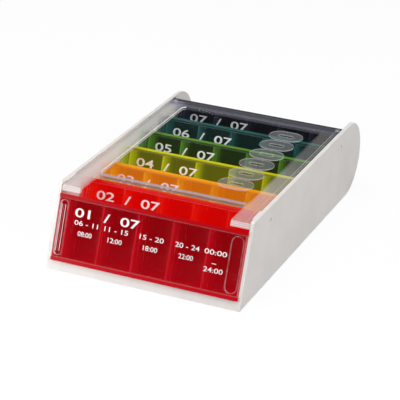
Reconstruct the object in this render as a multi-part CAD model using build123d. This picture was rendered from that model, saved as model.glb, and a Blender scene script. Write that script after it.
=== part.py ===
from build123d import *
import os
from math import cos, radians, sin, sqrt, tan

# Weekly pill organizer: an open white case, seven leaning day boxes that feed forward on a
# sloping floor, each with a clear sliding lid, and a clear cover hinged at the back.
# Millimetres. X runs across, Y from front to back, Z up. The origin is on the table, under
# the middle of the whole organizer.

# Day boxes: a tray with compartments, closed at the front by its lid
BOX_COUNT = 7
BOX_WIDTH = 129.4
BOX_HEIGHT = 43.7
BOX_DEPTH = 28.1
BOX_LEAN = 18.6
BOX_GAP = 0.75
BOX_PROUD = 1.65
COMPARTMENTS = 5
TRAY_WALL = 1.4
DIVIDER = 1.2
GRIP_POCKET = 4.9
SCOOP_RADIUS = 16.0
ROOF_SLOPE = 8.0
TRAY_EDGE_RADIUS = 0.5

# Lids and the dovetail rails that hold them
LID_THICKNESS = 1.4
LID_PLAY = 0.15
RAIL_HEIGHT = 2.4
RAIL_OVERHANG = 0.9
GRIP_MARGIN = 1.5
GRIP_END_MARGIN = 1.6
GRIP_DEPTH = 0.5
RIBBED_GRIP_WIDTH = 5.0
PLAIN_GRIP_WIDTH = 8.0
GRIP_RIBS = 3
GRIP_RIB_WIDTH = 0.6

# Case
CASE_WALL = 2.5
SIDE_GAP = 0.3
FLOOR_THICKNESS = 1.5
FLOOR_SLOPE = 0.8
SEAT_GAP = 0.25
REAR_REACH = 2.0
WALL_RISE = 1.1
WALL_CORNER_RADIUS = 2.0
WALL_EDGE_RADIUS = 0.6
BACK_PANEL_INSET = 0.8
BACK_PANEL_THICKNESS = 2.0
BACK_PANEL_HEIGHT = 38.0
DIMPLE_LENGTH = 7.0
DIMPLE_HEIGHT = 4.0
DIMPLE_DEPTH = 0.8
DIMPLE_RADIUS = 1.5
DIMPLE_DROP = 10.5
FRONT_DIMPLE_INSET = 27.0
REAR_DIMPLE_INSET = 11.0
PAD_INSET = 5.0
PAD_LENGTH = 13.0
PAD_THICKNESS = 1.0

# Cover
COVER_THICKNESS = 2.0
COVER_SLOPE = 0.35
COVER_SETBACK = 0.4
COVER_CORNER_RADIUS = 1.5
HEADROOM = 0.6
SKIRT_DROP = 3.9
SKIRT_THICKNESS = 2.0
ARM_WIDTH = 13.0
CUTOUT_DEPTH = 22.0
CUTOUT_RADIUS = 4.0
COVER_LIP_THICKNESS = 1.8
WINDOW_MARGIN = 12.3
WINDOW_FRONT_MARGIN = 4.0
WINDOW_REAR_MARGIN = 12.4
WINDOW_RECESS = 0.6
WINDOW_RADIUS = 4.0
RIM_HEIGHT = 0.5
RIM_WIDTH = 0.8
RIM_MARGIN = 1.0
COVER_REAR_GAP = 3.2

# Hinge: pins moulded on the cover, blind holes in the side walls
PIN_RADIUS = 1.0
PIN_LENGTH = 1.6
PIN_PLAY = 0.08
PIN_END_PLAY = 0.2
HINGE_SETBACK = 1.9

# Directions of a leaning box, as (y, z): depth runs back and down, height runs up and back
lean = radians(BOX_LEAN)
floor_slope = radians(FLOOR_SLOPE)
cover_slope = radians(COVER_SLOPE)
roof_slope = radians(ROOF_SLOPE)

# A box is carried by its rounded lower back, which sits just over the sloping floor. The
# floor's underside starts at the table, so the first box's scoop centre follows from it.
scoop_z = (SCOOP_RADIUS + SEAT_GAP + FLOOR_THICKNESS) * cos(floor_slope)
box_z = scoop_z + (BOX_DEPTH - SCOOP_RADIUS) * sin(lean) - SCOOP_RADIUS * cos(lean)
box_y = (box_z * sin(lean) - BOX_PROUD) / cos(lean)

# Boxes follow each other along the floor, one gap apart
pitch_y = (BOX_DEPTH + BOX_GAP) / (cos(lean) - tan(floor_slope) * sin(lean))
pitch_z = pitch_y * tan(floor_slope)


def in_first_box(depth, height):
    """The (y, z) place of a point of the first box, by its depth and height in the box."""
    y = box_y + depth * cos(lean) + height * sin(lean)
    z = box_z - depth * sin(lean) + height * cos(lean)
    return y, z


scoop_y = in_first_box(BOX_DEPTH - SCOOP_RADIUS, SCOOP_RADIUS)[0]
box_top_y, box_top_z = in_first_box(0, BOX_HEIGHT)

# Widths
inner_half = BOX_WIDTH / 2 + SIDE_GAP
outer_half = inner_half + CASE_WALL
cover_half = inner_half - SIDE_GAP

# Cover and wall tops are parallel lines that rise to the back
cover_front_z = box_top_z + HEADROOM + SKIRT_DROP
cover_front_y = cover_front_z * tan(lean) + COVER_SETBACK


def cover_top(y):
    """Height of the cover's top face at y."""
    return cover_front_z + (y - cover_front_y) * tan(cover_slope)


def wall_top(y):
    """Height of the side walls' top edge at y."""
    return cover_top(y) + WALL_RISE


def box_path(y):
    """Height of the top front corners of the boxes where they pass y on their way forward."""
    return box_top_z + (y - box_top_y) * tan(floor_slope)


# The round rear end touches the table and the walls' top line
rear_y = scoop_y + (BOX_COUNT - 1) * pitch_y + REAR_REACH
rear_radius = wall_top(rear_y) * cos(cover_slope) / (1 + cos(cover_slope))
back_y = rear_y + rear_radius
front_y = min(0.0, box_y)
middle_y = (front_y + back_y) / 2

# The cover ends just in front of the last box
last_box_top_y = box_top_y + (BOX_COUNT - 1) * pitch_y
cover_rear_y = last_box_top_y - COVER_REAR_GAP
hinge_y = cover_rear_y - HINGE_SETBACK
hinge_z = cover_top(hinge_y) - COVER_THICKNESS / 2

# Compartments, from the left end to the right end
pocket_left = -BOX_WIDTH / 2 + TRAY_WALL
first_left = pocket_left + GRIP_POCKET + DIVIDER
last_right = BOX_WIDTH / 2 - TRAY_WALL
compartment_width = (last_right - first_left - (COMPARTMENTS - 1) * DIVIDER) / COMPARTMENTS
lid_seat = LID_THICKNESS + LID_PLAY


def across(face, low, high):
    """A solid with a section drawn in (y, z), from x = low to x = high."""
    return Pos(low, 0, 0) * extrude(Plane.YZ * face, amount=high - low)


def closed(*lines):
    """A face inside lines that follow each other."""
    return make_face(Curve() + list(lines))


def polygon(*points):
    """A face with straight sides."""
    return make_face(Polyline(*points, close=True))


def round_corner(face, place, radius):
    """The face with its corner nearest to place rounded."""
    corner = face.vertices().sort_by_distance(place)[0]
    return fillet(corner, radius)


def roof(depth):
    """Height of a tray's roof, which falls from the front edge to the rear."""
    return BOX_HEIGHT - depth * tan(roof_slope)


def box_section(inset, front):
    """Section of a tray at an inset from its outside, starting at depth front."""
    back = BOX_DEPTH - inset
    centre = BOX_DEPTH - SCOOP_RADIUS
    radius = SCOOP_RADIUS - inset
    middle = radius * sqrt(0.5)
    top_front = roof(front) - inset
    top_back = roof(back) - inset
    return closed(
        Line((front, inset), (centre, inset)),
        ThreePointArc(
            (centre, inset), (centre + middle, SCOOP_RADIUS - middle), (back, SCOOP_RADIUS)
        ),
        Line((back, SCOOP_RADIUS), (back, top_back)),
        Line((back, top_back), (front, top_front)),
        Line((front, top_front), (front, inset)),
    )


def dovetail(play, depth):
    """Section of the lid, narrow at the front face, with play to the rails."""
    low = RAIL_HEIGHT + play
    spread = RAIL_OVERHANG * depth / lid_seat
    return polygon(
        (0, low),
        (0, BOX_HEIGHT - low),
        (depth, BOX_HEIGHT - low + spread),
        (depth, low - spread),
    )


def day_tray():
    """A tray in its own place: depth along Y, height along Z, middle at x = 0."""
    half = BOX_WIDTH / 2
    outer = round_corner(box_section(0, 0), (BOX_DEPTH, roof(BOX_DEPTH)), TRAY_WALL)
    tray = across(outer, -half, half)
    ends = tray.faces().filter_by(Axis.X)
    tray = fillet(ends.edges(), TRAY_EDGE_RADIUS)
    hollow = box_section(TRAY_WALL, lid_seat / 2)
    tray -= across(hollow, pocket_left, pocket_left + GRIP_POCKET)
    for index in range(COMPARTMENTS):
        left = first_left + index * (compartment_width + DIVIDER)
        tray -= across(hollow, left, left + compartment_width)
    return tray - across(dovetail(0, lid_seat), -half, half)


def day_lid():
    """A lid in the place of its tray, with a ribbed grip slot and a plain one."""
    half = BOX_WIDTH / 2
    lid = across(dovetail(LID_PLAY, LID_THICKNESS), -half, half)
    length = BOX_HEIGHT - 2 * (RAIL_HEIGHT + GRIP_MARGIN)
    lid_front = Plane((0, 0, BOX_HEIGHT / 2), x_dir=(0, 0, 1), z_dir=(0, 1, 0))
    for side, width in ((-1, RIBBED_GRIP_WIDTH), (1, PLAIN_GRIP_WIDTH)):
        x = side * (half - GRIP_END_MARGIN - width / 2)
        slot = Pos(x, 0, 0) * extrude(lid_front * SlotOverall(length, width), amount=GRIP_DEPTH)
        lid -= slot
        if side < 0:
            step = width / (GRIP_RIBS + 1)
            for index in range(GRIP_RIBS):
                rib_x = x - width / 2 + (index + 1) * step
                rib = Box(GRIP_RIB_WIDTH, GRIP_DEPTH, length - width)
                lid += Pos(rib_x, GRIP_DEPTH / 2, BOX_HEIGHT / 2) * rib
    return lid


def place_in_row(piece, index):
    """A tray or a lid, leaned back and moved to its place in the row."""
    y = box_y + index * pitch_y
    z = box_z + index * pitch_z
    return Pos(0, y, z) * Rot(X=-BOX_LEAN) * piece


def side_wall():
    """The right side wall, with its hinge hole, dimples and locating pad."""
    top_front_y = (cover_front_z + WALL_RISE) * tan(lean)
    top_front = (top_front_y, wall_top(top_front_y))
    top_rear = (
        rear_y - rear_radius * sin(cover_slope),
        rear_radius + rear_radius * cos(cover_slope),
    )
    outline = closed(
        Line((0, 0), top_front),
        Line(top_front, top_rear),
        ThreePointArc(top_rear, (back_y, rear_radius), (rear_y, 0)),
        Line((rear_y, 0), (0, 0)),
    )
    outline = round_corner(outline, top_front, WALL_CORNER_RADIUS)
    wall = across(outline, inner_half, outer_half)
    outside = wall.faces().filter_by(Axis.X).sort_by(Axis.X)[-1]
    wall = fillet(outside.edges(), WALL_EDGE_RADIUS)

    pad_y = top_front_y + PAD_INSET
    pad_end = pad_y + PAD_LENGTH
    pad = polygon(
        (pad_y, cover_top(pad_y) - COVER_THICKNESS),
        (pad_end, cover_top(pad_end) - COVER_THICKNESS),
        (pad_end, wall_top(pad_end)),
        (pad_y, wall_top(pad_y)),
    )
    wall += across(pad, inner_half - PAD_THICKNESS, inner_half + CASE_WALL / 2)

    hole = Cylinder(PIN_RADIUS + PIN_PLAY, PIN_LENGTH - SIDE_GAP + PIN_END_PLAY, rotation=(0, 90, 0))
    hole_depth = PIN_LENGTH - SIDE_GAP + PIN_END_PLAY
    wall -= Pos(inner_half + hole_depth / 2, hinge_y, hinge_z) * hole

    for dimple_y in (top_front_y + FRONT_DIMPLE_INSET, hinge_y - REAR_DIMPLE_INSET):
        dimple = Plane.YZ * RectangleRounded(DIMPLE_LENGTH, DIMPLE_HEIGHT, DIMPLE_RADIUS)
        cut = extrude(dimple, amount=DIMPLE_DEPTH)
        wall -= Pos(outer_half - DIMPLE_DEPTH, dimple_y, wall_top(dimple_y) - DIMPLE_DROP) * cut
    return wall


def case_floor():
    """The front lip, the sloping floor and the curved back panel, between the walls."""
    seat = SCOOP_RADIUS + SEAT_GAP
    lip_front = in_first_box(BOX_PROUD, -SEAT_GAP)
    lip_back = in_first_box(BOX_DEPTH - SCOOP_RADIUS, -SEAT_GAP)
    half_way = (lean + floor_slope) / 2 - floor_slope
    bend = (scoop_y - seat * sin(half_way), scoop_z - seat * cos(half_way))
    low = (scoop_y + seat * sin(floor_slope), scoop_z - seat * cos(floor_slope))
    lip = closed(
        Line((0, 0), lip_front),
        Line(lip_front, lip_back),
        ThreePointArc(lip_back, bend, low),
        Line(low, (low[0], 0)),
        Line((low[0], 0), (0, 0)),
    )

    # The floor ends inside the back panel, where its top line reaches the panel's middle
    panel_radius = rear_radius - BACK_PANEL_INSET
    middle = panel_radius - BACK_PANEL_THICKNESS / 2
    drop = rear_radius - low[1] - (rear_y - low[0]) * tan(floor_slope)
    along = drop * sin(floor_slope) + sqrt(middle**2 - (drop * cos(floor_slope)) ** 2)
    end_y = rear_y + along * cos(floor_slope)
    end_z = low[1] + (end_y - low[0]) * tan(floor_slope)
    fall = FLOOR_THICKNESS / cos(floor_slope)
    plate = polygon(low, (end_y, end_z), (end_y, end_z - fall), (low[0], low[1] - fall))

    ring = Circle(panel_radius) - Circle(panel_radius - BACK_PANEL_THICKNESS)
    kept = Rectangle(rear_radius, BACK_PANEL_HEIGHT, align=(Align.MIN, Align.MIN))
    panel = (Pos(rear_y, rear_radius) * ring) & (Pos(rear_y, 0) * kept)

    join = inner_half + CASE_WALL / 2
    body = across(lip, -join, join) + across(plate, -join, join)
    return body + across(panel.face(), -join, join)


def case():
    """The white case in one piece."""
    wall = side_wall()
    return case_floor() + wall + mirror(wall, about=Plane.YZ)


def cover():
    """The clear cover: plate, arms with skirts, lip, window, rims and pins."""
    skirt_z = box_top_z + HEADROOM
    skirt_y = skirt_z * tan(lean) + COVER_SETBACK
    under_z = cover_front_z - COVER_THICKNESS
    under_y = under_z * tan(lean) + COVER_SETBACK + SKIRT_THICKNESS
    front = (cover_front_y, cover_front_z)
    section = polygon(
        (skirt_y, skirt_z),
        front,
        (cover_rear_y, cover_top(cover_rear_y)),
        (cover_rear_y, cover_top(cover_rear_y) - COVER_THICKNESS),
        (under_y, cover_top(under_y) - COVER_THICKNESS),
        (skirt_y + SKIRT_THICKNESS, skirt_z),
    )
    section = round_corner(section, front, COVER_CORNER_RADIUS)
    body = across(section, -cover_half, cover_half)

    # Cut-out between the arms, closed by a lip that hangs from its back edge
    arm_inside = cover_half - ARM_WIDTH
    cutout_y = cover_front_y + CUTOUT_DEPTH
    reach = 2 * CUTOUT_DEPTH
    tall = 4 * SKIRT_DROP
    cutout = Rectangle(2 * arm_inside, reach)
    back_corners = cutout.vertices().group_by(Axis.Y)[-1]
    cutout = fillet(back_corners, CUTOUT_RADIUS)
    cut = extrude(cutout, amount=tall)
    body -= Pos(0, cutout_y - reach / 2, cover_front_z - tall / 2) * cut
    lip_y = cutout_y + COVER_LIP_THICKNESS
    lip = polygon(
        (cutout_y, box_path(lip_y) + HEADROOM),
        (cutout_y, cover_top(cutout_y) - COVER_THICKNESS / 2),
        (lip_y, cover_top(lip_y) - COVER_THICKNESS / 2),
        (lip_y, box_path(lip_y) + HEADROOM),
    )
    lip_half = arm_inside - CUTOUT_RADIUS
    body += across(lip, -lip_half, lip_half)

    # Window, a shallow recess in the top face
    window_front = lip_y + WINDOW_FRONT_MARGIN
    window_rear = cover_rear_y - WINDOW_REAR_MARGIN
    window_length = (window_rear - window_front) / cos(cover_slope)
    window_middle = (window_front + window_rear) / 2
    window_width = 2 * (cover_half - WINDOW_MARGIN)
    top_plane = Plane(
        (0, window_middle, cover_top(window_middle)),
        x_dir=(1, 0, 0),
        z_dir=(0, -sin(cover_slope), cos(cover_slope)),
    )
    window = top_plane * RectangleRounded(window_width, window_length, WINDOW_RADIUS)
    body -= extrude(window, amount=-WINDOW_RECESS)

    # Raised rims beside the walls, and notches that leave room for the walls' pads
    pad_y = (cover_front_z + WALL_RISE) * tan(lean) + PAD_INSET
    notch_front = pad_y - COVER_SETBACK
    notch_back = pad_y + PAD_LENGTH + COVER_SETBACK
    rim_front = notch_back + RIM_MARGIN
    rim_rear = hinge_y - PIN_RADIUS - RIM_MARGIN
    rim = polygon(
        (rim_front, cover_top(rim_front) - COVER_THICKNESS / 2),
        (rim_front, cover_top(rim_front) + RIM_HEIGHT),
        (rim_rear, cover_top(rim_rear) + RIM_HEIGHT),
        (rim_rear, cover_top(rim_rear) - COVER_THICKNESS / 2),
    )
    notch = polygon(
        (notch_front, cover_front_z - tall / 2),
        (notch_front, cover_front_z + tall / 2),
        (notch_back, cover_front_z + tall / 2),
        (notch_back, cover_front_z - tall / 2),
    )
    pin = Cylinder(PIN_RADIUS, PIN_LENGTH + RIM_MARGIN, rotation=(0, 90, 0))
    pin_x = cover_half + (PIN_LENGTH - RIM_MARGIN) / 2
    for side in (-1, 1):
        rim_x = side * (cover_half - RIM_MARGIN - RIM_WIDTH / 2)
        body += across(rim, rim_x - RIM_WIDTH / 2, rim_x + RIM_WIDTH / 2)
        edge_x = side * cover_half
        body -= across(notch, edge_x - PAD_THICKNESS, edge_x + PAD_THICKNESS)
        body += Pos(side * pin_x, hinge_y, hinge_z) * pin
    return body


def write(piece, name):
    """Moves a piece to the organizer's middle and writes it as one file."""
    placed = Pos(0, -middle_y, 0) * piece
    export_step(placed, os.path.join("parts", name + ".step"))


os.makedirs("parts", exist_ok=True)
write(case(), "case")
write(cover(), "cover")
tray = day_tray()
lid = day_lid()
for number in range(BOX_COUNT):
    write(place_in_row(tray, number), f"day_tray_{number + 1}")
    write(place_in_row(lid, number), f"day_lid_{number + 1}")

print("case, width x length x height:", 2 * outer_half, back_y - front_y, 2 * rear_radius)
print("hinge axis, y and z:", hinge_y - middle_y, hinge_z)
print("box pitch, y and z:", pitch_y, pitch_z)
print("first box front edge, y and z:", box_y - middle_y, box_z)
print("compartments, first left edge and width:", first_left, compartment_width)
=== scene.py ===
# %% [markdown]
# # Weekly pill organizer
#
# The object is a white case with seven leaning day boxes in a row. Each box is a coloured
# tray with five compartments behind a clear sliding lid, and a clear cover is hinged over
# them. The CAD model gives every piece its size and place. This lesson gives the pieces
# softened edges, moulded plastic, printed numbers and studio light.

# %% Load the frame
from math import cos, radians, sin

import bmesh
import bpy
import numpy as np
from mathutils import Matrix, Vector


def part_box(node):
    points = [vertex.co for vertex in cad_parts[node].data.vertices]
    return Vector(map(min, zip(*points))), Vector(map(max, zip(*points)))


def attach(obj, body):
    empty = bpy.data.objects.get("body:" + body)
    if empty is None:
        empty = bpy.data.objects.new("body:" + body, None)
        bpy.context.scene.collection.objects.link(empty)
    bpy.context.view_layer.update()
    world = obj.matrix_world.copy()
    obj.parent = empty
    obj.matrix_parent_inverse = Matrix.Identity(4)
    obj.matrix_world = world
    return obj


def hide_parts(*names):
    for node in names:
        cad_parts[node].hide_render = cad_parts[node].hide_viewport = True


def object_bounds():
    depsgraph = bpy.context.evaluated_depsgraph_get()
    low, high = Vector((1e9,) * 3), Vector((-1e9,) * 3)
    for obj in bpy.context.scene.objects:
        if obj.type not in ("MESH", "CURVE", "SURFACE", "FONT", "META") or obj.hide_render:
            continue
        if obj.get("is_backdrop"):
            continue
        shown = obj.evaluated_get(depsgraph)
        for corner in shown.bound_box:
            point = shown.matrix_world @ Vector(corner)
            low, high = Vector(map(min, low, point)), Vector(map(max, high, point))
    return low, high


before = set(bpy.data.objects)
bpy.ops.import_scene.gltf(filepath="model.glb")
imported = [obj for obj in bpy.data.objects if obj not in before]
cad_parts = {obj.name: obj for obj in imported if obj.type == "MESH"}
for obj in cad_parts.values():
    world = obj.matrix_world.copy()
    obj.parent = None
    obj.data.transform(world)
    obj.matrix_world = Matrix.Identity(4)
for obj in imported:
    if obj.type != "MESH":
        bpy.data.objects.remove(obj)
cad_low, cad_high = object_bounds()
print("CAD box, mm:", [round(1000 * side, 2) for side in cad_high - cad_low])

# %% [markdown]
# ## The camera
#
# The camera could be turned by eye until the picture looks right. Here its angles come
# from the case's own edges instead: their vanishing points fix the direction, and the
# size of the front fixes the distance. A long lens far away keeps the sides nearly
# parallel, as product photographs do.

# %% Camera
CAMERA_AZIMUTH = radians(22.27)
CAMERA_ELEVATION = radians(23.82)
CAMERA_ROLL = radians(2.345)
CAMERA_DISTANCE = 1.1429
CAMERA_TARGET = Vector((0.0, -0.0249, 0.025))
CAMERA_LENS = 153.75
CAMERA_SHIFT = (0.0042, 0.0053)


def camera_axes(azimuth, elevation, roll):
    """The camera's right, up and back directions: the back direction points from the
    object to the camera, and right and up are turned about it by the roll."""
    back = Vector((
        sin(azimuth) * cos(elevation),
        -cos(azimuth) * cos(elevation),
        sin(elevation),
    ))
    level = Vector((cos(azimuth), sin(azimuth), 0.0))
    upright = back.cross(level)
    right = cos(roll) * level + sin(roll) * upright
    up = cos(roll) * upright - sin(roll) * level
    return right, up, back


right, up, back = camera_axes(CAMERA_AZIMUTH, CAMERA_ELEVATION, CAMERA_ROLL)
camera = bpy.data.objects.new("camera", bpy.data.cameras.new("camera"))
bpy.context.scene.collection.objects.link(camera)
turned = Matrix((right, up, back)).transposed().to_4x4()
camera.matrix_world = Matrix.Translation(CAMERA_TARGET + CAMERA_DISTANCE * back) @ turned
camera.data.lens = CAMERA_LENS
camera.data.shift_x = CAMERA_SHIFT[0]
camera.data.shift_y = CAMERA_SHIFT[1]
bpy.context.scene.camera = camera
print("camera stands at, mm:", [round(1000 * side) for side in camera.location])

# %% [markdown]
# ## Nodes written as arithmetic
#
# A finish is a network of shader nodes. Wiring them one by one hides the idea, so a small
# class wraps an output socket and lets Python's own operators add the Math nodes. Every
# other node comes from one method, which sets the node's options before its inputs.

# %% Signals
class Signal:
    """A value that changes over a surface. Arithmetic on it adds Math nodes."""

    def __init__(self, tree, socket=None):
        self.tree = tree
        self.socket = socket

    def node(self, kind, settings=None, inputs=None, output=0):
        """A node of one type, with its settings, then its inputs' values or links."""
        made = self.tree.nodes.new("ShaderNode" + kind)
        for name, value in (settings or {}).items():
            setattr(made, name, value)
        for name, value in (inputs or {}).items():
            if isinstance(value, Signal):
                self.tree.links.new(value.socket, made.inputs[name])
            else:
                made.inputs[name].default_value = value
        return Signal(self.tree, made.outputs[output])

    def math(self, operation, *values):
        """A Math node on numbers or signals."""
        return self.node("Math", {"operation": operation}, dict(enumerate(values)))

    def __add__(self, other):
        return self.math("ADD", self, other)

    def __radd__(self, other):
        return self.math("ADD", other, self)

    def __sub__(self, other):
        return self.math("SUBTRACT", self, other)

    def __rsub__(self, other):
        return self.math("SUBTRACT", other, self)

    def __mul__(self, other):
        return self.math("MULTIPLY", self, other)

    def __rmul__(self, other):
        return self.math("MULTIPLY", other, self)

    def __pow__(self, other):
        return self.math("POWER", self, other)

    def __abs__(self):
        return self.math("ABSOLUTE", self)

    def at_least(self, other):
        return self.math("MAXIMUM", self, other)

    def at_most(self, other):
        return self.math("MINIMUM", self, other)

    def remainder(self, step):
        """What is left of the value after whole steps."""
        return self.math("MODULO", self, step)

    def fraction(self):
        """The value less the whole number below it."""
        return self.math("FRACT", self)

    def uneven(self, share):
        """A factor that strays around 1 by a share, made from noise around 0.5."""
        return 1 - share / 2 + share * self

    def rise(self, low, high):
        """0 below low and 1 above high, with a smooth rise between them."""
        return self.node(
            "MapRange",
            {"interpolation_type": "SMOOTHSTEP"},
            {"Value": self, "From Min": low, "From Max": high},
        )

    def fall(self, low, high):
        """1 below low and 0 above high."""
        return 1 - self.rise(low, high)

    def between(self, first, second):
        """A colour, from first where this value is 0 to second where it is 1. A Mix node
        has its colour inputs at 6 and 7 and its colour output at 2."""
        return self.node("Mix", {"data_type": "RGBA"}, {0: self, 6: first, 7: second}, 2)

    def noise(self, scale, detail=2.0):
        """Soft cloudy noise around 0.5 at the place this signal gives."""
        return self.node(
            "TexNoise", {}, {"Vector": self, "Scale": scale, "Detail": detail}, "Fac"
        )

    def axes(self):
        """The three parts of a place as values."""
        parts = self.node("SeparateXYZ", {}, {"Vector": self})
        outputs = parts.socket.node.outputs
        return tuple(Signal(self.tree, outputs[axis]) for axis in "XYZ")


def srgb(red, green, blue):
    """A colour from its 0 to 255 screen values: each is divided by 255, raised to the
    power 2.4 after an offset, or divided by 12.92 where it is very dark."""
    share = np.array((red, green, blue)) / 255
    linear = np.where(share <= 0.04045, share / 12.92, ((share + 0.055) / 1.055) ** 2.4)
    return (*linear.tolist(), 1.0)


def dimmed(colour, share):
    """A colour with its three parts multiplied by a share."""
    return (*(share * part for part in colour[:3]), 1.0)


print("mid grey is", round(srgb(128, 128, 128)[0], 3), "in linear light")

# %% [markdown]
# A finish starts from one Principled shader. What is the same all over the surface is set
# on the shader's own sockets, and only what changes is linked.

# %% Starting a finish
def new_finish(name, **even):
    """A material with one Principled shader, the place on the object and the shader."""
    material = bpy.data.materials.new(name)
    material.use_nodes = True
    tree = material.node_tree
    shader = tree.nodes["Principled BSDF"]
    for socket, value in even.items():
        shader.inputs[socket.replace("_", " ")].default_value = value
    place = Signal(tree).node("TexCoord", output="Object")
    return material, place, shader


def feed(signal, shader, socket):
    """Links a signal to one of a shader's sockets."""
    signal.tree.links.new(signal.socket, shader.inputs[socket])


def bumped(height, strength, distance):
    """Normals tilted by the slope of a height signal; distance is its depth in metres."""
    return height.node(
        "Bump", {}, {"Strength": strength, "Distance": distance, "Height": height}
    )


# %% [markdown]
# ## White moulded plastic
#
# The case is one thick white moulding with a fine satin grain. Its white isn't even: it
# is a touch warmer and darker in broad clouds, and handling has polished some patches.
# A fine noise drives the bump for the grain, and a broad one shifts colour and roughness.

# %% Case plastic
CASE_WHITE = srgb(235, 230, 226)
CASE_SHADE = srgb(230, 225, 221)
GRAIN_SCALE = 2600.0
GRAIN_STRENGTH = 0.35
GRAIN_DEPTH = 0.00003
CLOUD_SCALE = 45.0
CLOUD_EDGE = (0.35, 0.65)
CASE_ROUGHNESS = 0.36
CLOUD_ROUGHNESS = 0.1
GRAIN_ROUGHNESS = 0.06


def case_finish():
    """White between two near tones by broad noise; satin roughness with a fine grain."""
    material, place, shader = new_finish("case_plastic", IOR=1.5)
    clouds = place.noise(CLOUD_SCALE, detail=4.0)
    grain = place.noise(GRAIN_SCALE)
    cloudy = clouds.rise(*CLOUD_EDGE)
    feed(cloudy.between(CASE_WHITE, CASE_SHADE), shader, "Base Color")
    roughness = CASE_ROUGHNESS + CLOUD_ROUGHNESS * clouds + GRAIN_ROUGHNESS * grain
    feed(roughness, shader, "Roughness")
    feed(bumped(grain, GRAIN_STRENGTH, GRAIN_DEPTH), shader, "Normal")
    return material


case_plastic = case_finish()
print("case plastic has", len(case_plastic.node_tree.nodes), "nodes")

# %% [markdown]
# ## Softened edges
#
# A CAD solid has perfectly sharp edges, and real mouldings don't: light always catches a
# small rounding. The CAD mesh is loose triangles, so a copy is merged, and it then stands
# for the CAD node. On the lids and the cover the copy's flat faces are made whole again,
# and a Bevel modifier rounds what is still sharp. The case and the trays have their
# rounded edges in the CAD already, so their copies are only merged and shaded smooth.

# %% Merged copies of the CAD pieces
SMOOTH_ANGLE = radians(28)
FLAT_ANGLE = radians(0.3)
MERGE_REACH = 0.000002
BEVEL_SEGMENTS = 2


def flat_region(start):
    """The faces that continue a face in one plane."""
    region = {start}
    waiting = [start]
    while waiting:
        for edge in waiting.pop().edges:
            if len(edge.link_faces) == 2 and edge.calc_face_angle() < FLAT_ANGLE:
                fresh = set(edge.link_faces) - region
                region |= fresh
                waiting.extend(fresh)
    return region


def inner_edges(shape):
    """Edges inside flat regions that have no hole, since a face can't have one. In such a
    region the points less the edges plus the faces make 1."""
    inner = []
    rest = set(shape.faces)
    while rest:
        region = flat_region(rest.pop())
        rest -= region
        edges = {edge for face in region for edge in face.edges}
        points = {point for face in region for point in face.verts}
        if len(points) - len(edges) + len(region) == 1:
            inner += [edge for edge in edges if region.issuperset(edge.link_faces)]
    return inner


def merged_mesh(node, whole_faces):
    """The CAD node's triangles with their shared corners merged, and flat faces made whole
    if asked; only edges that turn by more than the smooth angle stay sharp."""
    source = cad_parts[node].data
    points = np.zeros(3 * len(source.vertices))
    corners = np.zeros(len(source.loops), int)
    source.vertices.foreach_get("co", points)
    source.loops.foreach_get("vertex_index", corners)
    mesh = bpy.data.meshes.new(node + "_merged")
    mesh.from_pydata(points.reshape(-1, 3).tolist(), [], corners.reshape(-1, 3).tolist())
    shape = bmesh.new()
    shape.from_mesh(mesh)
    bmesh.ops.remove_doubles(shape, verts=shape.verts, dist=MERGE_REACH)
    if whole_faces:
        bmesh.ops.dissolve_edges(shape, edges=inner_edges(shape), use_verts=True)
    shape.to_mesh(mesh)
    shape.free()
    mesh.polygons.foreach_set("use_smooth", [True] * len(mesh.polygons))
    mesh.set_sharp_from_angle(angle=SMOOTH_ANGLE)
    return mesh


def dressed(node, body, finish, ease=0.0):
    """A merged copy that stands for the CAD node, with sharp edges rounded by ease."""
    mesh = merged_mesh(node, ease > 0)
    mesh.materials.append(finish)
    piece = bpy.data.objects.new(node + "_piece", mesh)
    bpy.context.scene.collection.objects.link(piece)
    if ease > 0:
        bevel = piece.modifiers.new("eased", "BEVEL")
        bevel.width = ease
        bevel.segments = BEVEL_SEGMENTS
        bevel.limit_method = "ANGLE"
        bevel.angle_limit = SMOOTH_ANGLE
        bevel.use_clamp_overlap = False
        bevel.harden_normals = True
    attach(piece, body)
    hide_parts(node)
    return piece


case_piece = dressed("case", "case", case_plastic)
print("case:", len(case_piece.data.polygons), "faces")

# %% [markdown]
# ## The place of each day box
#
# The boxes lean back by one angle, so depth and height inside a box aren't along the
# scene's axes. Each box gets its own origin, the lower front edge in the middle of its
# width, worked out from the CAD tray: the tray's frontmost point is that edge, and its
# highest point is its top front edge.

# %% Box frames
BOX_COUNT = 7
BOX_LEAN = radians(18.6)
BOX_HEIGHT = 0.0437

ACROSS = np.array((1.0, 0.0, 0.0))
UPWARD = np.array((0.0, sin(BOX_LEAN), cos(BOX_LEAN)))
INWARD = np.array((0.0, cos(BOX_LEAN), -sin(BOX_LEAN)))


def box_origin(number):
    """The lower front edge of a day box: its tray's lowest y, and a height below its top."""
    low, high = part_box(f"day_tray_{number}")
    return np.array((0.0, low.y, high.z - BOX_HEIGHT * cos(BOX_LEAN)))


def box_place(place, number):
    """The place inside a box: x across, y its depth and z its height. The object place
    is turned upright by the lean after the origin is taken away."""
    low = box_origin(number)
    turned = Matrix.Rotation(BOX_LEAN, 3, "X") @ Vector(low)
    return place.node(
        "Mapping",
        {"vector_type": "POINT"},
        {"Vector": place, "Rotation": (BOX_LEAN, 0.0, 0.0), "Location": -turned},
    )


for number in (1, BOX_COUNT):
    print("box", number, "starts at, mm:", np.round(1000 * box_origin(number), 2))
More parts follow.
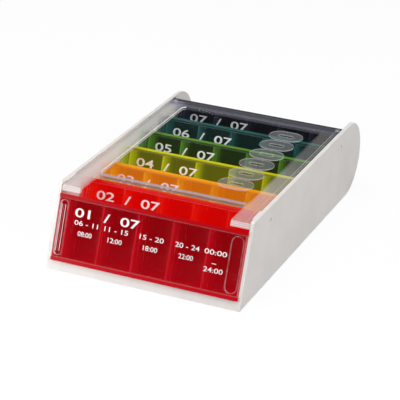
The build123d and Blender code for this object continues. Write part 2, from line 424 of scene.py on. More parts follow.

# %% [markdown]
# ## Coloured trays
#
# The trays are see-through coloured plastic, thick with colour. Light that enters them
# runs inside the walls and comes out everywhere, most of all at the rims. A full
# simulation of that is slow and noisy. Here a share of the tray's tone is given out as a
# painted glow and the rest answers to the lamps. A brighter tone is painted as light: on
# the rims where it comes out, on a thin line along the top of the trays behind the first,
# and low in the scoops and on walls that face sideways, where lamplight falls. The rails
# that hold the lid keep the deep one.

# %% Tray colours, from the first day to the last
# Each tray's colour name, its deep tone and its bright tone, which is painted light.
TRAY_TONES = {
    1: ("tray_red", srgb(182, 0, 16), srgb(200, 14, 30)),
    2: ("tray_scarlet", srgb(238, 6, 2), srgb(242, 30, 16)),
    3: ("tray_orange", srgb(238, 150, 0), srgb(252, 178, 24)),
    4: ("tray_lime", srgb(128, 130, 0), srgb(208, 214, 10)),
    5: ("tray_green", srgb(42, 66, 14), srgb(96, 150, 44)),
    6: ("tray_teal", srgb(12, 50, 46), srgb(40, 98, 96)),
    7: ("tray_navy", srgb(10, 12, 24), srgb(36, 42, 60)),
}
# The share of each tone given out as a painted glow.
PAINTED_GLOW = 0.4
TRAY_SHINE = 0.08
TONE_BLUR = 0.0005
RAIL_INSIDE = (0.0026, 0.0405)
RIM_LINE = (0.0421, 0.0425)
RIM_DEPTH = (0.0012, 0.0035)
SCOOP_SHARE = 0.6
SCOOP_HEIGHT = (0.008, 0.022)
SIDE_SHARE = 0.8
SIDE_DEPTH = (0.003, 0.020)
SIDEWAYS = (0.5, 0.9)
STREAK_SHAPE = (1.0, 4.0, 0.25)
STREAK_SCALE = 90.0
STREAK_SHARE = 0.4
STREAK_STRENGTH = 0.25
STREAK_DEPTH = 0.0002
TRAY_ROUGHNESS = 0.16
STREAK_ROUGHNESS = 0.18


def painted_light_parts(number, sideways, depth, height):
    """The share of painted light: 1 at the front rims between the rails, and on trays behind
    the first also on a thin line along their top. Low in the scoops and on walls that face
    sideways it is less."""
    low, high = RAIL_INSIDE
    between_rails = height.rise(low, low + TONE_BLUR) * height.fall(high, high + TONE_BLUR)
    # A thin painted highlight tops the rim of the trays behind the first; the first tray's
    # top rail lies in the cover's shade and keeps the deep tone.
    if number > 1:
        between_rails = between_rails.at_least(height.rise(*RIM_LINE))
    rims = depth.fall(*RIM_DEPTH) * between_rails
    scoop = SCOOP_SHARE * height.fall(*SCOOP_HEIGHT)
    sides = SIDE_SHARE * sideways.rise(*SIDEWAYS) * depth.fall(*SIDE_DEPTH)
    return rims.at_least(scoop).at_least(sides)


def tray_finish(number):
    """The deep tone with the bright one where light is painted, uneven along faint flow
    lines;
    the painted glow takes its share of both tones from what the lamps light."""
    name, deep, bright = TRAY_TONES[number]
    material, place, shader = new_finish(
        name + "_finish", Specular_IOR_Level=TRAY_SHINE, Emission_Strength=PAINTED_GLOW
    )
    inside = box_place(place, number)
    depth, height = inside.axes()[1:]
    flow = inside.node("Mapping", {}, {"Vector": inside, "Scale": STREAK_SHAPE})
    streaks = flow.noise(STREAK_SCALE, detail=3.0)
    sideways = abs(place.node("TexCoord", output="Normal").axes()[0])
    # The bright tone is painted light on the rims, low in the scoops and on sideways walls.
    painted_light_share = painted_light_parts(number, sideways, depth, height)
    painted_light_share = painted_light_share * streaks.uneven(STREAK_SHARE)
    lit_deep = dimmed(deep, 1 - PAINTED_GLOW)
    lit_bright = dimmed(bright, 1 - PAINTED_GLOW)
    feed(painted_light_share.between(lit_deep, lit_bright), shader, "Base Color")
    feed(painted_light_share.between(deep, bright), shader, "Emission Color")
    feed(TRAY_ROUGHNESS + STREAK_ROUGHNESS * streaks, shader, "Roughness")
    feed(bumped(streaks, STREAK_STRENGTH, STREAK_DEPTH), shader, "Normal")
    return material


for number, tones in TRAY_TONES.items():
    tray = dressed(
        f"day_tray_{number}", f"day_box_{number}", tray_finish(number)
    )
    print(tray.name, "shows", tones[0])

# %% [markdown]
# ## Clear plastic
#
# Clear lids could be real glass shaders, but light then reaches the trays only by chance
# rays, and the inside turns dark and grainy. Thin clear plastic hardly bends light, so it
# is mixed from three simple parts instead: what lets light straight through, a mirror
# that grows at a slant, and a milky part where the surface is matt, cut or printed.

# %% Mixing clear plastic
CLEAR_TINT = (0.975, 0.98, 0.98, 1.0)
MIRROR_ROUGHNESS = 0.06


def clear_mix(material, shader, haze, normal, head_on, slanted):
    """The share mirrored is head_on where the surface is looked at squarely, and grows to
    slanted with the fifth power of one minus the cosine of the viewing angle; haze is the
    share that the milky shader covers."""
    see_through = haze.node("BsdfTransparent", {}, {"Color": CLEAR_TINT})
    mirror = haze.node("BsdfGlossy", {}, {"Roughness": MIRROR_ROUGHNESS, "Normal": normal})
    slant = haze.node("LayerWeight", {}, {"Blend": 0.5, "Normal": normal}, "Facing")
    share = head_on + (slanted - head_on) * slant**5
    film = haze.node("MixShader", {}, {0: share, 1: see_through, 2: mirror})
    milky = Signal(haze.tree, shader.outputs[0])
    whole = haze.node("MixShader", {}, {0: haze, 1: film, 2: milky})
    feed(whole, material.node_tree.nodes["Material Output"], "Surface")


print("clear plastic lets through", CLEAR_TINT[0])

# %% [markdown]
# ## Sliding lids
#
# Every lid is a clear strip with two long finger grips pressed into it: a narrow one with
# ribs at the left, and a wider plain one at the right. The cut rims of the grips and the
# tops of the ribs carry painted highlights, a milky share that the lamps light, and the
# lid's long edges look grey from above. The grips' shapes are in the CAD mesh. Their
# faces could be picked out in it one by one, but a distance to a long slot with round
# ends finds them without counting faces, and it also gives lines that are finer than the
# mesh.

# %% Slots of the grips
GRIP_MIDDLE = BOX_HEIGHT / 2
GRIP_LENGTH = 0.0359
# Each grip's middle across the lid, and its width.
RIBBED_GRIP = (-0.0606, 0.005)
PLAIN_GRIP = (0.0591, 0.008)


def slot_distance(x, height, middle_x, width):
    """The distance to a slot's rim, negative inside: the distance to the slot's middle
    line, which is shorter than the slot by its width, less half the width."""
    past = (abs(height - GRIP_MIDDLE) - (GRIP_LENGTH - width) / 2).at_least(0.0)
    beside = x - middle_x
    return (beside * beside + past * past) ** 0.5 - width / 2


print("grips, mm:", [1000 * grip[1] for grip in (RIBBED_GRIP, PLAIN_GRIP)], "wide")

# %% Ribs and rims of the grips
LID_FRONT = (0.0001, 0.0003)
RIB_COUNT = 3
RIB_PITCH = 0.00125
RIB_CREST = (0.000112, 0.000208)
RIB_ROOM = (-0.0009, -0.0006)
RIB_END = (0.0151, 0.0154)
OUTER_RIB = (0.0004, 0.0009)
# Shares of painted highlight on the inner and the outer ribs.
INNER_RIB_GLINT = 0.15
OUTER_RIB_GLINT = 0.75
GRIP_RIM = (0.00005, 0.00028)
OUTER_RIM = (-0.0621, -0.0616)
# Shares of painted highlight on the grips' rims, in patches and on the outer side.
GRIP_RIM_GLINT = 0.05
PATCH_GLINT = 0.22
OUTER_RIM_GLINT = 0.45


def rib_crest_glints(x, depth, height, left):
    """Painted highlights on fine lines one pitch apart in the ribbed grip, on the lid's
    front only and clear of the grip's rim and ends. The outer ribs are the brightest."""
    first = RIBBED_GRIP[0] - RIB_COUNT / 2 * RIB_PITCH
    from_crest = abs((x - first).remainder(RIB_PITCH) - RIB_PITCH / 2)
    crest = from_crest.fall(*RIB_CREST) * depth.fall(*LID_FRONT)
    room = left.fall(*RIB_ROOM) * abs(height - GRIP_MIDDLE).fall(*RIB_END)
    outer = abs(x - RIBBED_GRIP[0]).rise(*OUTER_RIB)
    return crest * room * (INNER_RIB_GLINT + OUTER_RIB_GLINT * outer)


def grip_rim_glints(x, left, right, patches):
    """A painted highlight along the line where the distance to either slot is nearly
    nothing, brighter in patches and on the ribbed grip's outer side."""
    rims = abs(left).at_most(abs(right)).fall(*GRIP_RIM)
    outer = x.fall(*OUTER_RIM)
    return rims * (GRIP_RIM_GLINT + PATCH_GLINT * patches + OUTER_RIM_GLINT * outer)


print("the ribs reach, mm:", 2000 * RIB_END[1])

# %% Lid finish
LID_EASE = 0.0001
LID_MIRROR = (0.001, 0.3)
LID_CLEAR = srgb(236, 238, 240)
LID_EDGE_GREY = srgb(138, 144, 148)
GRIP_SHINE = (1.0, 0.3)
UPWARD_FACE = (0.6, 0.85)
LID_END = (0.0641, 0.0644)
END_MILK = 0.12
LID_SIDE = (0.0188, 0.0192)
SIDE_MILK = 0.08
LID_EDGE = (0.0182, 0.0192)
EDGE_MILK = 0.45
LID_HAZE = 0.001
LID_UNEVEN = 0.6
SPECKLE_SCALE = 900.0
PATCH_SCALE = 160.0
PATCH_EDGE = (0.3, 0.7)
WAVE_SCALE = 60.0
WAVE_STRENGTH = 0.08
WAVE_DEPTH = 0.0006
RIB_MIRROR = 0.04
RIB_MIRROR_EDGE = (-0.0004, 0.0002)


def lid_finish(number):
    """Nearly clear, with painted highlights on the grip rims and rib crests, and milky cut
    edges. The highlights on the lids behind the first are weaker. Faint waves bend the
    gloss, which the ribs weaken."""
    material, place, shader = new_finish(f"lid_{number}_finish", Roughness=0.35)
    inside = box_place(place, number)
    x, depth, height = inside.axes()
    facing = place.node("TexCoord", output="Normal").axes()
    upward = abs(facing[1] * sin(BOX_LEAN) + facing[2] * cos(BOX_LEAN)).rise(*UPWARD_FACE)
    from_middle = abs(height - GRIP_MIDDLE)
    long_edge = upward * from_middle.rise(*LID_EDGE)
    ends = END_MILK * abs(x).rise(*LID_END)
    sides = SIDE_MILK * from_middle.rise(*LID_SIDE)
    sawn = ends.at_least(sides).at_least(EDGE_MILK * long_edge)
    left = slot_distance(x, height, *RIBBED_GRIP)
    right = slot_distance(x, height, *PLAIN_GRIP)
    patches = inside.noise(PATCH_SCALE).rise(*PATCH_EDGE)
    # The grips' rims and rib crests carry painted highlights, a milky share that the lamps
    # light.
    grips = grip_rim_glints(x, left, right, patches).at_least(rib_crest_glints(x, depth, height, left))
    speckle = inside.noise(SPECKLE_SCALE, detail=3.0)
    cut = (GRIP_SHINE[number > 1] * grips).at_least(sawn) * speckle.uneven(LID_UNEVEN)
    haze = (LID_HAZE * speckle).at_least(cut)
    feed(long_edge.between(LID_CLEAR, LID_EDGE_GREY), shader, "Base Color")
    waves = bumped(inside.noise(WAVE_SCALE), WAVE_STRENGTH, WAVE_DEPTH)
    head_on, slanted = LID_MIRROR
    slanted = slanted + (RIB_MIRROR - slanted) * left.fall(*RIB_MIRROR_EDGE)
    clear_mix(material, shader, haze, waves, head_on, slanted)
    return material


for number in range(1, BOX_COUNT + 1):
    body = "day_lid_1" if number == 1 else f"day_box_{number}"
    dressed(f"day_lid_{number}", body, lid_finish(number), LID_EASE)
print("lids:", BOX_COUNT, "clear strips")

# %% [markdown]
# ## Printed numbers
#
# Each lid carries white print: the day's place in the week, and the hours of the five
# compartments. Text could be painted by a texture, but a thin raised film stays sharp at
# any size. Blender's own characters are turned into a mesh, fitted to the height and
# width that the line has, and laid on the leaning lid.

# %% Characters
DAY_BOLD = 0.012
HOUR_BOLD = 0.002
PRINT_THICKNESS = 0.00006
PRINT_LIFT = 0.00001
WELD_REACH = 0.000001


def characters(text, bold):
    """Flat characters as corner points and faces, from Blender's own font."""
    curve = bpy.data.curves.new("characters", "FONT")
    curve.body = text
    curve.offset = bold
    curve.extrude = 0.5
    writing = bpy.data.objects.new("characters", curve)
    bpy.context.scene.collection.objects.link(writing)
    seen = writing.evaluated_get(bpy.context.evaluated_depsgraph_get())
    mesh = bpy.data.meshes.new_from_object(seen)
    points = np.zeros(3 * len(mesh.vertices))
    mesh.vertices.foreach_get("co", points)
    faces = [tuple(face.vertices) for face in mesh.polygons]
    bpy.data.objects.remove(writing)
    bpy.data.meshes.remove(mesh)
    return points.reshape(-1, 3), faces


def fitted(text, bold, middle_x, foot, height, width):
    """Characters scaled to a height and a width, standing on a line at height foot of the
    lid with their middle at middle_x."""
    points, faces = characters(text, bold)
    low = points.min(0)
    high = points.max(0)
    share = (points - low) / (high - low) - (0.5, 0.0, 0.0)
    return share * (width, height, PRINT_THICKNESS) + (middle_x, foot, PRINT_LIFT), faces


def joined(parts):
    """One list of points and one of faces from several, the later faces renumbered."""
    points = np.concatenate([part[0] for part in parts])
    starts = np.cumsum([0] + [len(part[0]) for part in parts])
    faces = [
        tuple(start + corner for corner in face)
        for start, part in zip(starts, parts)
        for face in part[1]
    ]
    return points, faces


def new_piece(name, points, faces, finish, smooth=False):
    """A mesh object at the origin, with doubled points merged and faces turned outwards."""
    mesh = bpy.data.meshes.new(name)
    mesh.from_pydata(np.asarray(points).tolist(), [], faces)
    shape = bmesh.new()
    shape.from_mesh(mesh)
    bmesh.ops.remove_doubles(shape, verts=shape.verts, dist=WELD_REACH)
    bmesh.ops.recalc_face_normals(shape, faces=shape.faces)
    shape.to_mesh(mesh)
    shape.free()
    mesh.polygons.foreach_set("use_smooth", [smooth] * len(mesh.polygons))
    mesh.materials.append(finish)
    piece = bpy.data.objects.new(name, mesh)
    bpy.context.scene.collection.objects.link(piece)
    return piece


sample, sample_faces = characters("07", DAY_BOLD)
print("two characters have", len(sample), "points and", len(sample_faces), "faces")

# %% Print on the lids
DAY_START = -0.0520
DAY_WIDTH = 0.0450
DAY_HEIGHT = 0.0058
DAY_FOOT = 0.0306
HOUR_HEIGHT = 0.0031
DASH_HEIGHT = 0.0004
RANGE_WIDTH = 0.0165
TIME_WIDTH = 0.0098
FIRST_FOOT = 0.0255
SECOND_FOOT = 0.0188
THIRD_FOOT = 0.0143
# Each line's middle, characters, width and foot.
HOUR_LINES = (
    (-0.0432, "06 - 11", RANGE_WIDTH, FIRST_FOOT),
    (-0.0432, "08:00", TIME_WIDTH, SECOND_FOOT),
    (-0.0220, "11 - 15", RANGE_WIDTH, FIRST_FOOT),
    (-0.0220, "12:00", TIME_WIDTH, SECOND_FOOT),
    (0.0026, "15 - 20", RANGE_WIDTH, FIRST_FOOT),
    (0.0026, "18:00", TIME_WIDTH, SECOND_FOOT),
    (0.0270, "20 - 24", RANGE_WIDTH, FIRST_FOOT),
    (0.0270, "22:00", TIME_WIDTH, SECOND_FOOT),
    (0.0462, "00:00", 0.0150, FIRST_FOOT),
    (0.0462, "-", 0.0030, 0.0198),
    (0.0462, "24:00", 0.0130, THIRD_FOOT),
)
INK_SCALE = 1500.0
INK_THIN = srgb(246, 246, 244)
INK_THICK = srgb(255, 255, 255)


def ink_finish():
    """White ink, a little uneven in thickness, so its tone and gloss vary finely."""
    material, place, shader = new_finish("white_ink", Specular_IOR_Level=0.3)
    thickness = place.noise(INK_SCALE, detail=3.0)
    feed(thickness.between(INK_THIN, INK_THICK), shader, "Base Color")
    feed(0.45 + 0.2 * thickness, shader, "Roughness")
    return material


def lid_print(number):
    """The day's place in the week over the hours of each compartment. A flat point (x, y, z)
    goes x across, y up along the leaning face and z out of it, from the box's origin."""
    title = f"{number:02d}  /  {BOX_COUNT:02d}"
    middle = DAY_START + DAY_WIDTH / 2
    day = fitted(title, DAY_BOLD, middle, DAY_FOOT, DAY_HEIGHT, DAY_WIDTH)
    hours = [
        fitted(text, HOUR_BOLD, x, foot, DASH_HEIGHT if text == "-" else HOUR_HEIGHT, width)
        for x, text, width, foot in HOUR_LINES
    ]
    flat, faces = joined([day, *hours])
    directions = np.array((ACROSS, UPWARD, -INWARD))
    return box_origin(number) + flat @ directions, faces


white_ink = ink_finish()
for number in range(1, BOX_COUNT + 1):
    points, faces = lid_print(number)
    printed = new_piece(f"lid_print_{number}", points, faces, white_ink)
    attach(printed, "day_lid_1" if number == 1 else f"day_box_{number}")
    print(printed.name, "has", len(printed.data.polygons), "faces")

# %% [markdown]
# ## The clear cover
#
# The cover is one clear moulding. Its middle is a polished window, and around it runs a
# band of fine satin texture that hides scratches. Cut edges look milky, because light
# leaves the plate there. The window's outline is a rectangle with round corners, so a
# distance formula like that of the grips tells the shader where it ends. Each kind of
# milk on the plate is its own function, and the finish takes the strongest of them. At
# the left the satin and the window's step carry a painted highlight, and the rear edge
# carries a painted dark line for the dark box seen through it.

# %% Places on the cover
cover_low, cover_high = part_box("cover")
WINDOW_HALF = 0.0524
WINDOW_RADIUS = 0.004
WINDOW_REAR = cover_high.y - 0.0124
WINDOW_FRONT = cover_low.y + 0.0291
BLUR = 0.0002


def window_distance(x, y):
    """The distance to the window's outline, negative inside: that of a smaller box, less
    the corner radius."""
    middle = (WINDOW_FRONT + WINDOW_REAR) / 2
    half_length = (WINDOW_REAR - WINDOW_FRONT) / 2
    past_x = abs(x) - (WINDOW_HALF - WINDOW_RADIUS)
    past_y = abs(y - middle) - (half_length - WINDOW_RADIUS)
    corner_x = past_x.at_least(0.0)
    corner_y = past_y.at_least(0.0)
    corner = (corner_x * corner_x + corner_y * corner_y) ** 0.5
    return corner + past_x.at_least(past_y).at_most(0.0) - WINDOW_RADIUS


window_length = round(1000 * (WINDOW_REAR - WINDOW_FRONT))
print("cover window, mm:", round(2000 * WINDOW_HALF), "x", window_length)

# %% Milk on the cover
BORDER_EDGE = (0.0514, 0.0524)
BORDER_MILK = 0.07
FRONT_MILK = 0.13
FRONT_FADE = (-0.055, 0.030)
LEFT_HIGHLIGHT = 0.29
LEFT_FADE = (-0.060, -0.050)
REAR_MILK = 0.03
STRIPE_MILK = 0.12
STRIPE_PITCH = 0.0026
STRIPE_EDGE = (0.25, 0.45)
ARM_INSIDE = (0.0511, 0.0513)
ARM_BACK = (cover_low.y + 0.0225, cover_low.y + 0.0245)
ARM_MILK = 0.16
STRIP_BACK = WINDOW_FRONT - 0.0002
STRIP_FRONT = STRIP_BACK - 0.0034
STRIP_FADE = (0.0484, 0.0524)
STEP_HIGHLIGHT = 0.9
STEP_WIDTH = (0.0002, 0.00045)
STEP_END = (-0.0505, -0.0495)
SKIRT_FRONT = (cover_low.y + 0.0040, cover_low.y + 0.0045)
SKIRT_MILK = 0.48
SKIRT_LINE_MILK = 0.3
SKIRT_PITCH = 0.0011
SKIRT_EDGE = (0.2, 0.4)
LONG_EDGE = (0.0638, 0.0642)
LONG_EDGE_MILK = 0.3
SIDE_LINE = 0.0612
SIDE_LINE_MILK = 0.45
SIDE_LINE_WIDTH = (0.0001, 0.0004)


def lines(place, pitch, edge):
    """Lines one pitch apart: the distance from the middle of each step, in steps, rises."""
    return abs((place * (1 / pitch)).fraction() - 0.5).rise(*edge)


def satin_milk(x, y, behind):
    """The texture around the window, stronger towards the front and on the arms, with a
    painted highlight added at the left; behind the window it runs in stripes."""
    # The extra milk at the left is a painted highlight.
    left = LEFT_HIGHLIGHT * x.fall(*LEFT_FADE)
    border = abs(x).rise(*BORDER_EDGE).at_least(behind)
    sides = border * (BORDER_MILK + FRONT_MILK * y.fall(*FRONT_FADE)) + left
    rear = behind * (REAR_MILK + STRIPE_MILK * lines(y, STRIPE_PITCH, STRIPE_EDGE))
    on_arm = abs(x).rise(*ARM_INSIDE) * y.fall(*ARM_BACK)
    return (sides + rear).at_least(on_arm * (ARM_MILK + left))


def strip_share(x, y, upright):
    """1 on the grained strip that crosses the plate in front of the window."""
    strip = y.rise(STRIP_FRONT - BLUR, STRIP_FRONT) * y.fall(STRIP_BACK, STRIP_BACK + BLUR)
    return strip * (1 - upright) * abs(x).fall(*STRIP_FADE)


def edge_milk(x, y, z, outline, upright):
    """A painted highlight on the window's left step, then the lined fronts of the arms, the
    plate's long edges and a fine line beside each of them."""
    # The milk on the window's left step is a painted highlight.
    step = STEP_HIGHLIGHT * (abs(outline).fall(*STEP_WIDTH) * x.fall(*STEP_END))
    lined = SKIRT_MILK + SKIRT_LINE_MILK * lines(z, SKIRT_PITCH, SKIRT_EDGE)
    front = upright * y.fall(*SKIRT_FRONT) * lined
    long_edge = LONG_EDGE_MILK * abs(x).rise(*LONG_EDGE)
    side_line = SIDE_LINE_MILK * abs(abs(x) - SIDE_LINE).fall(*SIDE_LINE_WIDTH)
    return step.at_least(front).at_least(long_edge).at_least(side_line * (1 - upright))


print("stripes behind the window:", round((cover_high.y - WINDOW_REAR) / STRIPE_PITCH, 1))

# %% Cover finish
COVER_EASE = 0.00025
COVER_MIRROR = (0.004, 0.35)
COVER_HAZE = 0.001
COVER_UNEVEN = 0.6
UPRIGHT_FACE = (0.5, 0.85)
UPRIGHT_MILK = 0.015
STRIP_MILK = 0.55
STRIP_GRAIN_MILK = 0.5
STRIP_GRAIN_SHAPE = (0.35, 1.0, 1.0)
STRIP_GRAIN_SCALE = 1500.0
REAR_EDGE = (cover_high.y - 0.0042, cover_high.y - 0.0038)
REAR_EDGE_PAINTED_SHARE = 0.9
SATIN_TONE = srgb(234, 231, 228)
BEHIND_TONE = srgb(186, 184, 204)
STRIP_TONE = srgb(166, 164, 172)
REAR_EDGE_PAINTED_DARK = srgb(36, 36, 46)
SATIN_SCALE = 1400.0
SATIN_STRENGTH = 0.4
SATIN_DEPTH = 0.0002
PLATE_WAVES = 0.02
PLATE_WAVE_SCALE = 40.0


def cover_finish():
    """Polished in the window and satin around it, with a grained grey strip in front, white
    edges and a painted dark line at the rear edge, for the dark box seen through it. The
    satin is also a fine relief outside the window."""
    material, place, shader = new_finish("cover_finish", Roughness=0.4)
    x, y, z = place.axes()
    speckle = place.noise(SATIN_SCALE, detail=4.0)
    upright = abs(place.node("TexCoord", output="Normal").axes()[2]).fall(*UPRIGHT_FACE)
    outline = window_distance(x, y)
    outside = outline.rise(-BLUR, BLUR)
    behind = y.rise(WINDOW_REAR - 1.5 * BLUR, WINDOW_REAR + 1.5 * BLUR)
    satin = outside * satin_milk(x, y, behind) * speckle.uneven(COVER_UNEVEN)
    drawn_out = place.node("Mapping", {}, {"Vector": place, "Scale": STRIP_GRAIN_SHAPE})
    grain = drawn_out.noise(STRIP_GRAIN_SCALE)
    strip = strip_share(x, y, upright)
    grained = strip * (STRIP_MILK + STRIP_GRAIN_MILK * grain)
    # The dark line along the rear edge is painted: it stands for the dark box seen through
    # it.
    rear = y.rise(*REAR_EDGE)
    milk = satin.at_least(edge_milk(x, y, z, outline, upright)).at_least(grained)
    milk = milk.at_least(UPRIGHT_MILK * upright).at_least(REAR_EDGE_PAINTED_SHARE * rear)
    tone = strip.between(behind.between(SATIN_TONE, BEHIND_TONE), STRIP_TONE)
    feed(rear.between(tone, REAR_EDGE_PAINTED_DARK), shader, "Base Color")
    relief = speckle * outside + PLATE_WAVES * place.noise(PLATE_WAVE_SCALE)
    texture = bumped(relief, SATIN_STRENGTH, SATIN_DEPTH)
    clear_mix(material, shader, COVER_HAZE + milk, texture, *COVER_MIRROR)
    return material


cover_piece = dressed("cover", "cover", cover_finish(), COVER_EASE)
print("the cover has", len(cover_piece.data.polygons), "faces before its edges are eased")

# %% [markdown]
# ## Raised rings on the window
#
# The window carries a row of raised shapes that give the fingers a hold. They are long
# rings with round ends. Each one is a rounded section carried along a track: two half
# circles and the straight lines between them. Two small rings mark the hinge pins. The
# rings are thin and sit on the cover, so they are their own mesh and ride on its body.

# %% Raised rings
COVER_SLOPE = radians(0.35)
COVER_REAR_TOP = 0.05344
RING_COUNT = 6
RING_X = 0.0335
RING_FIRST_Y = -0.0440
RING_PITCH = 0.0185
RING_SIZE = (0.0242, 0.0168)
RING_WIDTH = 0.0068
RING_RISE = 0.0009
RING_SINK = 0.0002
WINDOW_RECESS = 0.0006
HINGE_RING_X = 0.0620
HINGE_RING_Y = cover_high.y - 0.0045
HINGE_RING_SIZE = (0.0036, 0.0036)
HINGE_RING_WIDTH = 0.0010
TRACK_STEPS = 64
SECTION_STEPS = 20
RING_MILK = 0.05
RING_SPECKLE_MILK = 0.06
FLANK_HIGHLIGHT = 0.4
FLANK_FACE = (0.3, 0.8)


def cover_point(x, y, rise):
    """Places over the cover's top face: its height falls from the rear edge by the slope."""
    top = COVER_REAR_TOP - (cover_high.y - y) * np.tan(COVER_SLOPE)
    return np.stack(np.broadcast_arrays(x, y, top + rise), axis=-1)


def grid_faces(rows, columns):
    """Four-sided faces of a grid that closes on itself both ways."""
    row, column = np.meshgrid(np.arange(rows), np.arange(columns), indexing="ij")
    next_row = (row + 1) % rows
    next_column = (column + 1) % columns
    corners = (
        row * columns + column,
        next_row * columns + column,
        next_row * columns + next_column,
        row * columns + next_column,
    )
    return np.stack(corners, axis=-1).reshape(-1, 4).tolist()


def long_ring(middle_x, middle_y, size, width, base):
    """The track at angle t is (a sgn(cos t) + r cos t, r sin t), with r half the depth and a
    the rest of the half length. The section, a squared circle, stands on the track: its
    offset and rise are signed square roots of cosine and sine."""
    t = (np.arange(TRACK_STEPS) + 0.5) * 2 * np.pi / TRACK_STEPS
    s = np.arange(SECTION_STEPS) * 2 * np.pi / SECTION_STEPS
    radius = (size[1] - width) / 2
    straight = (size[0] - size[1]) / 2
    offset = width / 2 * np.sign(np.cos(s)) * np.sqrt(np.abs(np.cos(s)))
    swell = np.sign(np.sin(s)) * np.sqrt(np.abs(np.sin(s)))
    rise = RING_RISE * np.clip(swell, 0, 1) + RING_SINK * np.clip(swell, -1, 0)
    reach = radius + offset[None, :]
    x = middle_x + straight * np.sign(np.cos(t))[:, None] + reach * np.cos(t)[:, None]
    y = middle_y + reach * np.sin(t)[:, None]
    points = cover_point(x, y, rise[None, :] + base)
    return points.reshape(-1, 3), grid_faces(TRACK_STEPS, SECTION_STEPS)


def ring_finish():
    """Clear like the window, with a faint milk on top and a painted highlight on the rounded
    flanks.
    """
    material, place, shader = new_finish(
        "raised_ring_finish", Base_Color=srgb(226, 230, 234), Roughness=0.3
    )
    speckle = place.noise(700.0, detail=3.0)
    flank = abs(place.node("TexCoord", output="Normal").axes()[2]).fall(*FLANK_FACE)
    # The milk on the flanks is a painted highlight.
    haze = RING_MILK + RING_SPECKLE_MILK * speckle + FLANK_HIGHLIGHT * flank
    clear_mix(material, shader, haze, bumped(speckle, 0.05, 0.0002), *COVER_MIRROR)
    return material


rings = [
    long_ring(RING_X, RING_FIRST_Y + RING_PITCH * i, RING_SIZE, RING_WIDTH, -WINDOW_RECESS)
    for i in range(RING_COUNT)
]
for side in (-1, 1):
    place = (side * HINGE_RING_X, HINGE_RING_Y)
    rings.append(long_ring(*place, HINGE_RING_SIZE, HINGE_RING_WIDTH, -RING_RISE / 2))
ring_piece = new_piece("cover_raised_rings", *joined(rings), ring_finish(), smooth=True)
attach(ring_piece, "cover")
print("raised rings:", len(rings), "with", len(ring_piece.data.polygons), "faces")

# %% [markdown]
# ## Light and floor
#
# Soft light from three large lamps keeps the shadows of a white case gentle. A small one
# near the floor at the left lifts the front lip and the left wall, as a white card would.
# The floor is a wide shallow bowl, so that its rim closes the view from low cameras while
# the sky above it stays dim: a clear cover mirrors that part of the room, and a bright one
# would wash out the colours under it.

# %% Lamps
# Each lamp's name, place, side in metres and power in watts.
LAMPS = (
    ("overhead", (-0.2, -0.1, 1.3), 1.0, 8.8),
    ("front_left", (-0.9, -1.2, 0.8), 0.9, 4.6),
    ("left_card", (-0.36, -0.42, 0.12), 0.25, 1.25),
    ("right", (1.3, -0.5, 0.7), 0.9, 13.5),
)


def area_lamp(name, place, size, power):
    """A square lamp that faces the object's middle."""
    lamp = bpy.data.lights.new(name, "AREA")
    lamp.size = size
    lamp.energy = power
    holder = bpy.data.objects.new(name, lamp)
    bpy.context.scene.collection.objects.link(holder)
    towards = CAMERA_TARGET - Vector(place)
    aim = towards.to_track_quat("-Z", "Y").to_matrix().to_4x4()
    holder.matrix_world = Matrix.Translation(place) @ aim
    return holder


for lamp in LAMPS:
    area_lamp(*lamp)
print("lamps:", [lamp[0] for lamp in LAMPS])

# %% Sky and floor
SKY_LOW = 0.06
SKY_HIGH = 0.45
SKY_RISE = (0.55, 0.9)
FLOOR_CORE = 0.3
FLOOR_FLAT = 1.5
FLOOR_REACH = 3.2
FLOOR_RISE = 0.85
FLOOR_RINGS = 40
FLOOR_STEPS = 96
FLOOR_OWN_WHITE = 0.93
FLOOR_BOUNCE = srgb(112, 112, 112)

world = bpy.data.worlds.new("studio")
bpy.context.scene.world = world
world.use_nodes = True
direction = Signal(world.node_tree).node("TexCoord", output="Generated")
sky = SKY_LOW + (SKY_HIGH - SKY_LOW) * direction.axes()[2].rise(*SKY_RISE)
feed(sky, world.node_tree.nodes["Background"], "Strength")
world.node_tree.nodes["Background"].inputs["Color"].default_value = (1.0, 1.0, 1.0, 1.0)


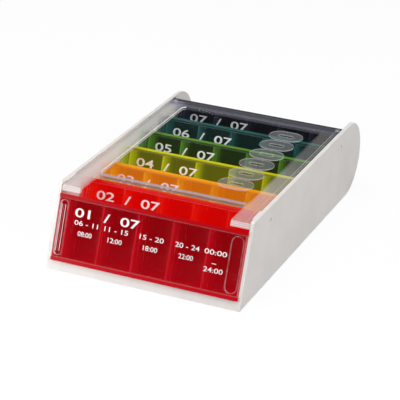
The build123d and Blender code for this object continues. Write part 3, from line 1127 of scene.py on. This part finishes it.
def floor_finish():
    """Mostly its own plain white where it is looked at, and the rest lit, for a shadow. It
    gives less light back to the object, as paper does far from the lamps."""
    material, place, shader = new_finish("floor_finish", Roughness=0.6)
    cloud = place.noise(3.0)
    rays = [
        place.node("LightPath", output=f"Is {kind} Ray")
        for kind in ("Camera", "Glossy", "Transmission")
    ]
    watched = rays[0].at_least(rays[1]).at_least(rays[2])
    white = cloud.between(srgb(250, 250, 250), srgb(255, 255, 255))
    feed(watched.between(FLOOR_BOUNCE, white), shader, "Base Color")
    glow = place.node("Emission", {}, {"Strength": 1.0})
    lit = Signal(place.tree, shader.outputs[0])
    mixed = place.node("MixShader", {}, {0: watched * FLOOR_OWN_WHITE, 1: lit, 2: glow})
    feed(mixed, material.node_tree.nodes["Material Output"], "Surface")
    return material


def bowl():
    """Rings of growing radius r; the height is a smooth step from the flat's edge to the
    rim, and the middle is closed by the first ring's face."""
    r = np.linspace(FLOOR_CORE, FLOOR_REACH, FLOOR_RINGS)
    t = np.arange(FLOOR_STEPS) * 2 * np.pi / FLOOR_STEPS
    share = np.clip((r - FLOOR_FLAT) / (FLOOR_REACH - FLOOR_FLAT), 0, 1)
    height = FLOOR_RISE * share**2 * (3 - 2 * share)
    x = r[:, None] * np.cos(t)
    y = r[:, None] * np.sin(t)
    z = np.broadcast_to(height[:, None], x.shape)
    faces = grid_faces(FLOOR_RINGS, FLOOR_STEPS)[: (FLOOR_RINGS - 1) * FLOOR_STEPS]
    faces.append(list(range(FLOOR_STEPS)))
    return np.stack((x, y, z), axis=-1).reshape(-1, 3), faces


floor = new_piece("studio_floor", *bowl(), floor_finish(), smooth=True)
floor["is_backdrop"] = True
bpy.context.scene.view_settings.view_transform = "Standard"
print("floor rises to", FLOOR_RISE, "m at", FLOOR_REACH, "m")

# %% [markdown]
# ## Sizes
#
# The looks must not change the size of the object. The CAD box is printed at the start,
# and here the growth of the dressed box over it.

# %% Sizes
seen_low, seen_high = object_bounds()
growth = (seen_high - seen_low) - (cad_high - cad_low)
print("grown by, mm:", [round(1000 * side, 3) for side in growth])
